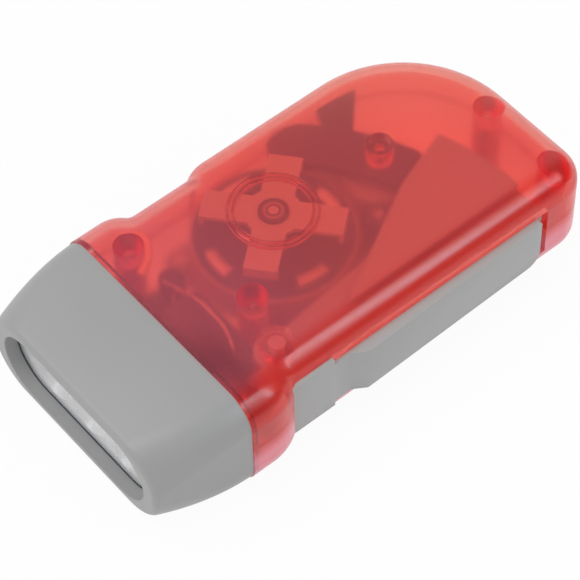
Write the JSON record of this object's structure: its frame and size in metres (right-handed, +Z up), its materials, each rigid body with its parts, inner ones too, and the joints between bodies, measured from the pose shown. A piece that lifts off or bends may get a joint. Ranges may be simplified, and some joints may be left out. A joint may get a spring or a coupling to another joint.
{
  "type": "squeeze dynamo flashlight",
  "caption": "Palm-size hand lamp with a translucent red body, grey nose and squeeze lever; the lever spins a flywheel dynamo through gears to light lamps in a mirror reflector.",
  "frame": {"origin": "centre of the overall box, on the underside the lamp rests on", "axes": "-X the way the light shines, +X to the tail, -Y the side of the squeeze lever, +Z up through the flat top"},
  "size_m": [0.1034, 0.053, 0.024],
  "materials": {
    "red_shell": "translucent, polished",
    "grey_plastic": "satin",
    "clear_lens": "polished",
    "cup_mirror": "mirror bright",
    "lamp_clear": "polished",
    "steel": "bright",
    "board_green": "satin",
    "cell_steel": "satin",
    "sleeve_film": "shrunk film",
    "dark_part": "gloss",
    "claw_steel": "zinc plated",
    "bobbin_plastic": "satin",
    "copper": "enamelled",
    "pale_plastic": "satin",
    "dark_plastic": "satin",
    "plate_plastic": "satin",
    "magnet": "pressed ferrite",
    "bronze": "sintered",
    "red_wire": "matt"
  },
  "bodies": {
    "housing": {"upper_shell": "red_shell", "lower_shell": "red_shell", "nose_bezel": "grey_plastic", "front_lens": "clear_lens", "reflector": "cup_mirror", "lamps": "lamp_clear", "lamp_legs": "steel", "lamp_board": "board_green", "cells": "cell_steel", "cell_sleeve": "sleeve_film", "cell_tabs": "steel", "rectifier_board": "board_green", "diodes": "dark_part", "capacitor": "dark_part", "gear_plate": "plate_plastic", "plate_screws": "steel", "lower_bush": "bronze", "cross_plate": "pale_plastic", "upper_bush": "bronze", "stator_core": "claw_steel", "lower_claws": "claw_steel", "upper_claws": "claw_steel", "bobbin": "bobbin_plastic", "winding": "copper", "first_axle": "steel", "second_axle": "steel", "pivot_pin": "steel", "return_spring": "steel", "shell_screws": "steel", "lamp_wires": "red_wire", "coil_wires": "copper", "cell_wires": "steel"},
    "lever": {"squeeze_lever": "grey_plastic", "sector_gear": "dark_plastic", "sector_rivets": "steel"},
    "first_wheel": {"first_gear": "pale_plastic"},
    "second_wheel": {"second_pinion": "dark_plastic", "ratchet_pawl": "dark_plastic"},
    "output": {"output_wheel": "pale_plastic"},
    "rotor": {"rotor_shaft": "steel", "flywheel": "dark_plastic", "ring_magnet": "magnet", "rotor_pinion": "pale_plastic"},
    "lock": {"lock_slider": "grey_plastic"}
  },
  "joints": [
    {"name": "lever_swing", "type": "hinge", "parent": "housing", "child": "lever", "pos_m": [-0.0182, -0.0165, 0.012], "axis": [0, 0, 1], "range_deg": [-20, 0]},
    {"name": "first_spin", "type": "hinge", "parent": "housing", "child": "first_wheel", "pos_m": [0.02479, 0.00541, 0.012], "axis": [0, 0, 1], "range_deg": [-1, 367]},
    {"name": "second_spin", "type": "hinge", "parent": "housing", "child": "second_wheel", "pos_m": [0.01816, -0.00208, 0.006], "axis": [0, 0, 1], "range_deg": [-855, 1]},
    {"name": "rotor_spin", "type": "hinge", "parent": "housing", "child": "rotor", "pos_m": [0, 0.0063, 0.012], "axis": [0, 0, 1], "continuous": true},
    {"name": "output_spin", "type": "hinge", "parent": "housing", "child": "output", "pos_m": [0.01816, -0.00208, 0.006], "axis": [0, 0, 1], "continuous": true},
    {"name": "lock_slide", "type": "slide", "parent": "housing", "child": "lock", "axis": [-1, 0, 0], "range_m": [0, 0.0025]}
  ],
  "couplings": [
    {"joint": "first_spin", "follows": "lever_swing", "ratio": -18.3},
    {"joint": "second_spin", "follows": "lever_swing", "ratio": 42.7},
    {"joint": "output_spin", "follows": "rotor_spin", "ratio": -0.17647}
  ]
}
